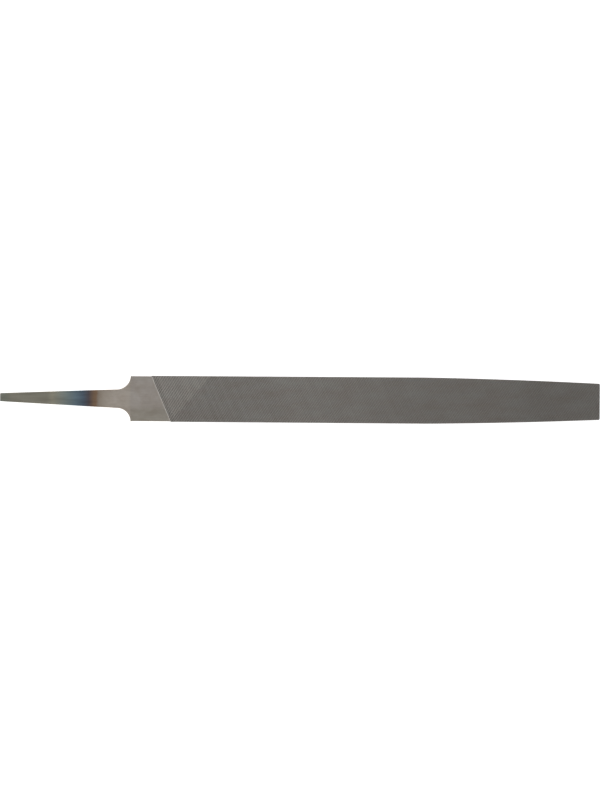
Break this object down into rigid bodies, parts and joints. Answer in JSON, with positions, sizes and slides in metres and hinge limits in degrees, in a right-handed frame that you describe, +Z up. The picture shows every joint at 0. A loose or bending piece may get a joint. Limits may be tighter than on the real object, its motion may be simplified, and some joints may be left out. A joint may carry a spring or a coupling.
{
  "type": "flat file",
  "caption": "Double-cut flat file for metal, tapered towards the point, with a smooth heel and a bare heat-tinted tang that takes a handle.",
  "frame": {"origin": "under the middle of the file's length and width, on the plane of the lower face's tooth crests, which it lies on", "axes": "+X along the bar from the tang to the point, +Y across its width, +Z up out of the upper face"},
  "size_m": [0.3196, 0.0248, 0.0058],
  "materials": {
    "tempered_steel": "forged steel with straw, brown and blue heat tint",
    "bright_steel": "satin steel, cleaned after hardening",
    "ground_steel": "ground lengthwise",
    "cut_steel": "chisel-cut teeth, dull grey from hardening"
  },
  "bodies": {
    "root": {"tang_end": "tempered_steel", "tang_root": "bright_steel", "shoulder": "bright_steel", "heel": "ground_steel", "blade": "cut_steel", "point": "cut_steel"}
  },
  "joints": []
}
